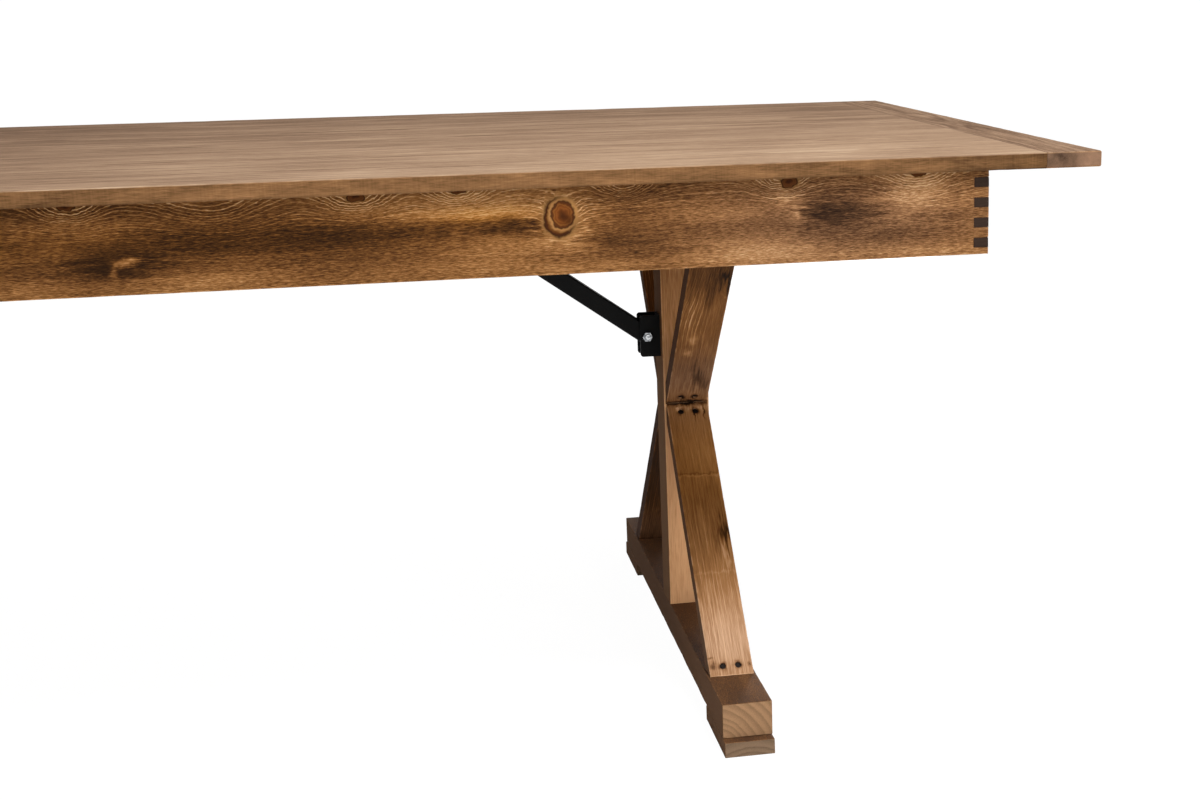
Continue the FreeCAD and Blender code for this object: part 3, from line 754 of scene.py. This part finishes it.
def wear_arrises(bm, grain, deepest, nodes):
    """Sink vertices near an arris of the whole slab by an uneven amount, most at knocks."""
    seed = len(bm.verts) % SEEDS
    axes = board_axes(grain)
    low, high = extent(nodes, axes)
    bm.normal_update()
    for vert in bm.verts:
        depths = sorted(min(vert.co.dot(a) - lo, hi - vert.co.dot(a))
                        for a, lo, hi in zip(axes, low, high))
        closeness = max(0.0, 1 - depths[1] / WORN_WIDTH)
        rub = noise.noise(vert.co * RUB_WAVES + Vector((seed, 0, 0)))
        knock = noise.noise(vert.co * KNOCK_WAVES + Vector((0, seed, 0)))
        amount = 0.35 + 0.45 * rub + max(0.0, knock - KNOCKS_FROM) * KNOCK_DEPTH
        vert.co -= vert.normal * deepest * closeness * max(0.0, amount)


def chip_seam(bm, middle, reach, deepest, seed):
    """Ragged chips along an edge across the grain, deepest in the middle of the reach."""
    bm.normal_update()
    for vert in bm.verts:
        away = abs(vert.co.z - middle) / reach
        rough = noise.noise(Vector((vert.co.x * CHIP_WAVES, seed, 0))) + 0.4
        vert.co -= vert.normal * deepest * max(0.0, 1 - away) * max(LEAST_CHIP, rough)


print("wear ends", WORN_WIDTH / MM, "mm from an arris")

# %% [markdown]
# ## Finished pieces
#
# A finished piece takes the place of its CAD node and moves with the same body. Shading is
# smooth, with normals weighted by the size of the faces, so that large faces stay flat and
# the small bevels carry the highlight.


# %% Finished pieces
def finish_piece(name, bm, material, node):
    """The mesh becomes a piece that stands for its CAD node and moves with its body."""
    mesh = bpy.data.meshes.new(name)
    bm.to_mesh(mesh)
    bm.free()
    mesh.shade_smooth()
    mesh.materials.append(material)
    piece = new_object(name, mesh)
    even = piece.modifiers.new("even_light", "WEIGHTED_NORMAL")
    even.keep_sharp = False
    even.weight = 80
    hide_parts(node)
    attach(piece, NODES[node]["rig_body"])


def wooden_piece(node, grain, material, step=12 * MM, offset=0.8 * MM, deepest=0.8 * MM,
                 slab=None):
    """One worn board, in place of its CAD node. slab names the boards it is glued up with."""
    bm = merged_copy(node)
    soften(bm, offset)
    slice_across(bm, grain, step)
    wear_arrises(bm, grain, deepest, slab or [node])
    finish_piece(node + "_wood", bm, material, node)


def steel_piece(node, material, offset=0.4 * MM):
    """One fitting with the small radii of formed steel, in place of its CAD node."""
    bm = merged_copy(node)
    soften(bm, offset)
    finish_piece(node + "_steel", bm, material, node)


# %% [markdown]
# ## The top
#
# Five planks run the length of the table, each from another part of a tree, so each has its own
# pith and its own tone; the tones also fall towards the back as painted shade. A breadboard board
# caps each end with its grain across them.
# One material on the whole top would run the same rings through every joint. Small dark knots and
# clouds in the stain are listed as spots: a centre, a reach, and a weight. Two broad spots, one
# over the front plank's left and one over the whole left of the top, are painted shade: the top
# darker towards the left, away from the main lamp.

# %% Marks on the top
# The tones fall from the front plank to the back one: painted shade, the top darker towards the
# back, over each plank's own tone.
PLANK_TONES_AND_SHADE = (0.62, 0.56, 0.5, 0.44, 0.38)
TOP_MARKS_AND_SHADE = {
    # Painted shade: the front plank's broad spot darkens its left, away from the main lamp.
    0: [(((-0.2, -0.42, 0.76), (0.4, 0.2, 0.1)), -0.14)],
    1: [(((-0.35, -0.22, 0.76), (0.03, 0.003, 0.02)), -0.3)],
    2: [(((0.118, -0.008, 0.76), (0.028, 0.0035, 0.02)), -0.45),
        (((0.498, 0.027, 0.76), (0.024, 0.003, 0.02)), -0.4)],
    3: [(((-0.7, 0.21, 0.76), (0.03, 0.004, 0.02)), -0.4)],
}
FRONT_EDGE = [(((x, -0.508, 0.752), (reach, 0.06, 0.06)), weight) for x, reach, weight in (
    (1.13, 0.14, -0.3), (-0.02, 0.16, -0.12), (0.42, 0.2, 0.12))]
END_MARKS = [(((1.206, -0.508, 0.752), (0.02, 0.06, 0.03)), 0.55),
             (((1.172, -0.508, 0.757), (0.02, 0.06, 0.008)), -0.35)]
# Painted shade: a broad darkening over the left of the whole top, away from the main lamp on the
# right.
LEFT_PAINTED_SHADE = (((-0.35, 0, 0.76), (0.5, 0.9, 0.1)), -0.17)
print("dark marks on the planks:", sum(len(marks) for marks in TOP_MARKS_AND_SHADE.values()))

# %% [markdown]
# The pith of each plank lies under it, now to one side and now to the other, which gives
# flat-sawn arches. The front plank is sliced more finely, because its worn edge shows most.

# %% Top boards
PITH_UNDER_PLANK, PITH_UNDER_CAP = 0.06, 0.05

for k, (node, tone) in enumerate(zip(PLANKS, PLANK_TONES_AND_SHADE)):
    low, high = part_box(node)
    middle = (low + high) / 2
    pith = (middle.x, middle.y + 0.03 * sin(4 * k), middle.z - PITH_UNDER_PLANK)
    grain = Vector((1, 0.01 * cos(3 * k), 0.004))
    in_front = k == 0
    wood = washed_pine(
        node, ALONG_X, grain, pith, tone, seed=3.7 * k, edges=FRONT_EDGE if in_front else (),
        patches=TOP_MARKS_AND_SHADE.get(k, []) + [LEFT_PAINTED_SHADE])
    wooden_piece(node, ALONG_X, wood, step=12 * MM if in_front else 25 * MM,
                 offset=0.25 * MM, deepest=1.2 * MM, slab=SLAB)

for node in CAPS:
    low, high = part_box(node)
    pith = ((low.x + high.x) / 2, 0, high.z - PITH_UNDER_CAP)
    wood = washed_pine(node, ALONG_Y, Vector((0.006, 1, 0.003)), pith, tone=0.36,
                       seed=21.0 if low.x < 0 else 8.0, edges=END_MARKS)
    wooden_piece(node, ALONG_Y, wood, step=20 * MM, offset=0.25 * MM,
                 deepest=0.9 * MM, slab=SLAB)

# %% [markdown]
# ## The apron
#
# Four boards on edge, finger-jointed at the corners. The fingers of the short boards show
# their end grain in the long boards, much darker than the face round them. The long boards
# were sawn close to the heart of the tree: along their upper edge the saw just met a row of
# knots, with the rings in arches round them, and below it the figure is fine and straight.
# One knows a board by where its knots sit, so they are listed and not left to chance.

# %% Marks on the long boards
APRON_LOW, APRON_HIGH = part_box("apron_front")
EDGE_Z = APRON_HIGH.z
WHOLE_BELOW = EDGE_Z - 0.02  # knots lower than this lie whole on the face


def on_board(face_y, marks):
    """Spots with weights on a long board's face, from (x, z, width, height, weight)."""
    return [(((x, face_y, z), (wide, 0.06, tall)), weight) for x, z, wide, tall, weight in marks]


# Half knots on the upper edge, as x and reach; knots, the collars of bent wood round the whole
# ones and their burnt rims, as x, z, width and height; patches, with a weight too.
BOARD_MARKS_AND_SHADE = {
    "front": {
        "edge": [
            (-1.01, 0.04), (-0.55, 0.036), (-0.3, 0.04), (0.031, 0.038), (0.18, 0.06),
            (0.338, 0.038), (0.451, 0.032), (0.64, 0.03), (0.825, 0.03), (0.992, 0.044)],
        "knots": [
            (0.5685, 0.7095, 0.0142, 0.0162), (-0.78, 0.69, 0.014, 0.012),
            (0.338, 0.7395, 0.0105, 0.006), (0.835, 0.738, 0.0105, 0.0075),
            (0.992, 0.742, 0.01, 0.0045), (0.451, 0.7425, 0.009, 0.0045),
            (0.031, 0.741, 0.01, 0.0045), (-0.3, 0.738, 0.012, 0.006),
            (-1.01, 0.738, 0.012, 0.006)],
        "collars": [(0.565, 0.7065, 0.0185, 0.0225), (-0.78, 0.69, 0.0165, 0.014)],
        "burnt": [(0.575, 0.7035, 0.0085, 0.0085)],
        "patches": [
            (0.566, 0.706, 0.023, 0.027, 0.12), (0.49, 0.716, 0.06, 0.006, 0.18),
            (0.515, 0.698, 0.035, 0.011, -0.3), (0.58, 0.647, 0.07, 0.008, 0.16),
            (1.03, 0.69, 0.05, 0.04, -0.08), (0.67, 0.66, 0.05, 0.01, -0.1),
            (0.4, 0.697, 0.13, 0.013, -0.26), (0.62, 0.68, 0.04, 0.01, -0.24),
            (0.575, 0.684, 0.01, 0.01, 0.2), (0.65, 0.72, 0.05, 0.014, -0.16),
            (0.078, 0.672, 0.05, 0.02, -0.34), (0.38, 0.655, 0.09, 0.014, -0.1),
            (0.084, 0.677, 0.01, 0.0045, 0.6), (0.074, 0.669, 0.004, 0.009, 0.45),
            (0.096, 0.68, 0.009, 0.003, 0.45), (0.832, 0.715, 0.016, 0.014, 0.26),
            (0.842, 0.7, 0.005, 0.014, 0.24), (0.874, 0.699, 0.02, 0.015, -0.22),
            (0.906, 0.698, 0.045, 0.015, -0.25), (0.78, 0.688, 0.12, 0.012, -0.12),
            (0.93, 0.725, 0.03, 0.012, -0.2), (0.9, 0.652, 0.5, 0.012, 0.16),
            (0.15, 0.697, 0.26, 0.03, -0.22), (0.73, 0.706, 0.1, 0.02, 0.22),
            (0.4, 0.7, 0.3, 0.03, 0.06), (-0.4, 0.65, 0.6, 0.012, 0.1),
            (-0.76, 0.676, 0.05, 0.02, -0.3), (-0.4, 0.69, 0.16, 0.02, -0.16),
            # The two long spots just under the upper edge darken the band under the top: painted
            # shade of the top's overhang.
            (-0.05, 0.736, 0.28, 0.01, -0.2), (0.7, 0.735, 0.12, 0.008, -0.1),
            (0.985, 0.715, 0.045, 0.035, 0.22)],
    },
    "back": {
        "edge": [
            (-0.92, 0.03), (-0.5, 0.04), (-0.12, 0.026), (0.3, 0.03), (0.66, 0.026), (0.98, 0.03)],
        "knots": [
            (-0.5, 0.7385, 0.012, 0.007), (0.3, 0.7385, 0.013, 0.006), (0.02, 0.695, 0.017, 0.014),
            (0.75, 0.67, 0.012, 0.01)],
        "collars": [(0.02, 0.695, 0.0195, 0.0165), (0.75, 0.67, 0.014, 0.012)],
        "burnt": [],
        "patches": [
            (0.02, 0.69, 0.036, 0.028, 0.24), (0.07, 0.68, 0.04, 0.012, -0.3),
            (-0.6, 0.69, 0.12, 0.016, -0.26), (0.5, 0.7, 0.14, 0.02, -0.2),
            (0, 0.65, 1.5, 0.012, 0.14)],
    },
}
print("knots, front and back:", [len(marks["knots"]) for marks in BOARD_MARKS_AND_SHADE.values()])

# %% [markdown]
# The pith runs just above the upper edge and behind the face. Each knot lifts the rings round
# it, which bends the lines into an arch, and makes them bolder, because the wood round a knot
# is hard and takes little stain.

# %% Long apron boards
EDGE_LIFT, KNOT_LIFT = -24, -16  # mm by which the rings bend round a knot
COLLAR_SHADE, WHOLE_SHADE, HALF_SHADE = 0.52, 0.88, 0.42
BURN = -0.55
VIVID = [(0.1, 0.7, 0.55, 0.025, 0.03), (0.48, 0.714, 0.06, 0.01, 0.06),
         (0.9, 0.69, 0.2, 0.06, -0.1)]


def long_board_wood(side, face_y, marks):
    """Stained pine for the front or the back board, with its knots and patches."""
    inward = -1 if face_y > 0 else 1
    pith = (0, face_y + inward * 0.030, EDGE_Z + 0.022)
    whole = [mark for mark in marks["knots"] if mark[1] < WHOLE_BELOW]
    lifts = [(x, EDGE_Z, reach, reach * 0.7, EDGE_LIFT) for x, reach in marks["edge"]]
    lifts += [(x, z, wide * 1.7, tall * 1.5, KNOT_LIFT) for x, z, wide, tall in whole]
    bold = [(0, EDGE_Z, 3.0, 0.022, 0.4)]
    bold += [(x, EDGE_Z, 1.6 * reach, reach, 0.45) for x, reach in marks["edge"]]
    bold += [(x, z, 2.4 * wide, 2.4 * tall, 0.9) for x, z, wide, tall in marks["knots"]]
    knots = [(*mark, COLLAR_SHADE) for mark in marks["collars"]]
    knots += [(*mark, WHOLE_SHADE if mark in whole else HALF_SHADE) for mark in marks["knots"]]
    return stained_pine(
        "apron_" + side, ALONG_X, Vector((1, 0.004, 0.004)), pith, GOLDS, tone=0.48, line=0.1,
        ring=3.7, waves=26.0, seed=1.0 if side == "front" else 4.0,
        lifts=on_board(face_y, lifts), bold=on_board(face_y, bold),
        patches=on_board(face_y, marks["patches"]), knots=on_board(face_y, knots),
        burnt=on_board(face_y, [(*mark, BURN) for mark in marks["burnt"]]),
        vivid=on_board(face_y, VIVID))


for side, face_y in (("front", APRON_LOW.y), ("back", -APRON_LOW.y)):
    wood = long_board_wood(side, face_y, BOARD_MARKS_AND_SHADE[side])
    wooden_piece("apron_" + side, ALONG_X, wood, step=25 * MM,
                 offset=0.5 * MM, deepest=0.6 * MM)

# %% [markdown]
# The short boards are plainer. Behind each, a batten under the top carries the leg's hinges.

# %% Short apron boards and battens
FINGER_ENDS = "#33261f"

for side in ("left", "right"):
    node = "apron_" + side
    low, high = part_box(node)
    pith = ((low.x + high.x) / 2, 0, high.z + 0.02)
    wood = stained_pine(node, ALONG_Y, Vector((0.01, 1, 0.01)), pith, tone=0.45,
                        end=FINGER_ENDS, seed=5.0, end_lines=0.1)
    wooden_piece(node, ALONG_Y, wood, step=25 * MM, offset=0.4 * MM,
                 deepest=0.4 * MM)
    node = "hinge_batten_" + side
    low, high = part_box(node)
    wood = stained_pine(node, ALONG_Y, ALONG_Y, (low.x - 0.02, 0, low.z), tone=0.5)
    wooden_piece(node, ALONG_Y, wood, step=30 * MM)

# %% [markdown]
# ## Posts and feet
#
# Each leg is a post on a foot beam, with two pads under the beam and a rail across the top.
# The post is pale, partly from painted light, with painted shade darkening its top and making its
# flanks nearly black. The feet had a thinner, greyer stain, and their coarse rings show on the
# ends.

# %% Posts and feet
LEG_X = 0.783  # from the table's middle to a leg's
COARSE_RING = 9.0  # mm
FOOT_SIDES, FOOT_WASH = "#6c4c31", "#544033"


def post_and_foot(side, sign):
    """Post, foot beam, foot pads and top rail of one leg."""
    middle_x = sign * LEG_X
    # The spot at the post's top is painted shade under the table, and its nearly black flank
    # colour is painted shade too.
    wood = stained_pine(
        "post_" + side, ALONG_Z, ALONG_Z, (middle_x + 0.02, 0.06, 0.4), POST_BROWNS_AND_LIGHT, tone=1.0,
        line=0.12, fibre=50.0, contrast=0.7, side_tint_and_shade="#352216", seed=2.0 + sign,
        patches=[(((middle_x, 0, 0.62), (0.2, 0.2, 0.2)), -0.5)])
    wooden_piece("post_" + side, ALONG_Z, wood)
    feet = [("foot_beam_" + side, Vector((0.01, 1, 0)), (middle_x - 0.05, 0, -0.01), "#9a7757")]
    for end in ("front", "back"):
        feet.append(("foot_pad_%s_%s" % (end, side), ALONG_Y, (middle_x, 0, -0.05), "#7b644f"))
    for node, grain, pith, end_grain in feet:
        wood = stained_pine(node, ALONG_Y, grain, pith, tone=0.4, end=end_grain, line=0.05,
                            ring=COARSE_RING, side_tint_and_shade=FOOT_SIDES, wash=FOOT_WASH)
        wooden_piece(node, ALONG_Y, wood)
    node = "top_rail_" + side
    wood = stained_pine(node, ALONG_Y, ALONG_Y, (middle_x - 0.04, 0, 0.64), tone=0.4)
    wooden_piece(node, ALONG_Y, wood, step=20 * MM)


print("distance between the legs:", 2 * LEG_X, "m")

# %% [markdown]
# ## Sloping arms
#
# Four arms per leg slope at 45 degrees and meet in the middle of the post, and the grain slopes
# with them. Where an upper and a lower arm meet, their thin tips have chipped and the crack
# between them has filled with stain. Stain has also soaked in round each screw hole, and the holes
# themselves are darkened as painted shade.

# %% Marks on the arms
SLOPE = radians(45)
SEAM_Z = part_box("arm_lower_front_right")[1].z
ARM_FACE = 0.034  # from the post's middle to an arm's face at the seam
SCREW_X = 0.0105
SCREW_FROM_TIP = 0.015
# Reach of the darkening round a screw: stain soaked round the hole, and painted shade down inside
# it.
SCREW_SOAK_AND_SHADE = 0.0042
# The arms' flanks: a greyer brown, darkened as painted shade.
GREY_SHADED_SIDE = "#402b20"


def on_arm(middle_x, way, marks, deep=0.02):
    """Spots with weights on an arm's outer face, from (x, z, width, height, weight)."""
    spots = []
    for x, z, wide, tall, weight in marks:
        centre = (middle_x + x, way * (ARM_FACE + abs(z - SEAM_Z)), z)
        spots.append(((centre, (wide, max(tall, deep), tall)), weight))
    return spots


# Patches, with x from the leg's middle. Only the right leg's front arms have all of them; the
# other arms have those that PLAIN_ARM picks.
ARM_MARKS_AND_LIGHT = {
    "upper": [
        (0.024, 0.583, 0.012, 0.008, -0.5), (0, 0.57, 0.03, 0.02, -0.12),
        (-0.008, 0.487, 0.006, 0.008, 0.3), (-0.012, 0.466, 0.006, 0.006, 0.34),
        (0.01, 0.428, 0.01, 0.022, -0.28), (0.022, 0.41, 0.008, 0.02, -0.24),
        (-0.016, 0.53, 0.01, 0.05, 0.12), (0, 0.61, 0.08, 0.05, -0.2), (0, 0.4, 0.05, 0.03, 0.1)],
    "lower": [
        (0.025, 0.222, 0.013, 0.014, -0.5), (0, 0.29, 0.05, 0.0012, -0.14),
        (0, 0.288, 0.05, 0.0012, 0.12), (0.012, 0.26, 0.03, 0.04, -0.14),
        # The wide spot at z 0.11 pales the lower arms towards the foot: partly paler wood, partly
        # painted light where the lamp reaches below the top's shadow.
        (0, 0.11, 0.08, 0.08, 0.26), (0, 0.178, 0.05, 0.0012, 0.07),
        (-0.023, 0.079, 0.004, 0.003, -0.4), (-0.026, 0.087, 0.003, 0.0015, -0.35),
        (0.019, 0.193, 0.008, 0.008, 0.2), (0.026, 0.078, 0.003, 0.002, -0.35),
        (-0.014, 0.3685, 0.004, 0.004, 0.55), (0.0085, 0.362, 0.0012, 0.008, -0.5),
        (0.0225, 0.3635, 0.0012, 0.009, -0.5), (0.012, 0.368, 0.02, 0.004, 0.2)],
}
PLAIN_ARM = slice(3, 5)
ARM_LIFTS = [(-0.03, 0.62, 0.04, 0.1, 14), (0.03, 0.583, 0.022, 0.03, -14)]
ARM_BOLD = [(-0.018, 0.53, 0.02, 0.07, 0.6), (-0.014, 0.15, 0.022, 0.12, 0.2)]
ARM_VIVID = [(0, 0.3, 0.2, 0.08, 0.04), (0, 0.1, 0.2, 0.06, -0.13), (0, 0.42, 0.2, 0.05, -0.14)]
# The back arms' low tones, the lower one nearly black, are painted shade, for arms that stand in
# shade at the back of the leg.
ARM_TONES_AND_SHADE = {
    ("lower", "front"): 0.64, ("upper", "front"): 0.48, ("lower", "back"): 0.16,
    ("upper", "back"): 0.42}
print("the arms meet at", round(SEAM_Z, 4), "m")

# %% [markdown]
# An arm's mesh is sliced twice, along its grain and across its width, because the chips in
# its tip are only a few millimetres long.


# %% Arms
def arm_wood(node, level, rise, end, way, side, sign):
    """Grain along the slope, dark rims round the screws with painted shade in their holes, painted
    shade on the flanks, and a dark crease at the seam.
    """
    middle_x = sign * LEG_X
    low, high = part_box(node)
    grain = Vector((0, way * cos(SLOPE), rise * sin(SLOPE)))
    inner = Vector((0, -way * sin(SLOPE), rise * cos(SLOPE)))
    pith = (low + high) / 2 + inner * 0.03 + ALONG_X * sign * 0.03
    marks = ARM_MARKS_AND_LIGHT[level] if (end, side) == ("front", "right") else ARM_MARKS_AND_LIGHT[level][PLAIN_ARM]
    tip = SCREW_FROM_TIP * sin(SLOPE)
    heights = (SEAM_Z + rise * tip, (low.z if rise < 0 else high.z) - rise * tip)
    # Dark spots at the screws: soaked stain round each, and painted shade in the hole.
    holes = [(x, z, SCREW_SOAK_AND_SHADE, SCREW_SOAK_AND_SHADE, -0.85) for x in (-SCREW_X, SCREW_X) for z in heights]
    patches = on_arm(middle_x, way, marks) + on_arm(middle_x, way, holes, deep=SCREW_SOAK_AND_SHADE)
    patches += on_arm(middle_x, way, [(-0.002, SEAM_Z, 0.028, 0.003, -0.9)])
    wood = stained_pine(
        node, grain, grain, pith, tone=ARM_TONES_AND_SHADE[level, end], line=0.14, contrast=0.45,
        waves=5.0 if level == "lower" else 12.0, fibre=45.0, patches=patches,
        seed=2.0 * way + 3.0 * rise + sign, lifts=on_arm(middle_x, way, ARM_LIFTS),
        bold=on_arm(middle_x, way, ARM_BOLD), side_tint_and_shade=GREY_SHADED_SIDE,
        vivid=on_arm(middle_x, way, ARM_VIVID, deep=0.1))
    return wood, grain


def arm_piece(level, rise, end, way, side, sign):
    """One arm with its chipped tip."""
    node = "arm_%s_%s_%s" % (level, end, side)
    wood, grain = arm_wood(node, level, rise, end, way, side, sign)
    bm = merged_copy(node)
    soften(bm, 0.5 * MM)
    slice_across(bm, grain, 8 * MM)
    slice_across(bm, ALONG_X, 3 * MM)
    wear_arrises(bm, grain, 0.6 * MM, [node])
    chip_seam(bm, SEAM_Z, 3.5 * MM, 2.8 * MM, seed=way + 4 * sign)
    finish_piece(node + "_wood", bm, wood, node)


print("patches on the front arms:", {level: len(marks) for level, marks in ARM_MARKS_AND_LIGHT.items()})

# %% [markdown]
# ## Both legs
#
# The legs are mirror images in shape, but not in wood: the side's sign is in the seeds.

# %% Both legs
for side, sign in (("left", -1), ("right", 1)):
    post_and_foot(side, sign)
    for level, rise in (("lower", -1), ("upper", 1)):
        for end, way in (("front", -1), ("back", 1)):
            arm_piece(level, rise, end, way, side, sign)

# %% [markdown]
# ## Fittings
#
# Brackets, strut, hinges, bolts and screws are formed or turned steel. Their CAD shape is
# already right, so they only get their small radii.

# %% Steel fittings
for side in ("left", "right"):
    for node in ("strut", "leg_bracket", "keeper_bracket"):
        steel_piece("%s_%s" % (node, side), POWDER)
    for node in ("pivot_bolt", "pivot_nut", "wing_bolt", "wing_nut"):
        steel_piece("%s_%s" % (node, side), ZINC)
    for node in ("hinge_fixed_leaves", "hinge_leg_leaves", "hinge_pins", "top_hardware_screws",
                 "leg_hardware_screws"):
        steel_piece("%s_%s" % (node, side), HINGE_ZINC, offset=0.25 * MM)
    steel_piece("arm_screws_" + side, PHOSPHATE, offset=0.3 * MM)
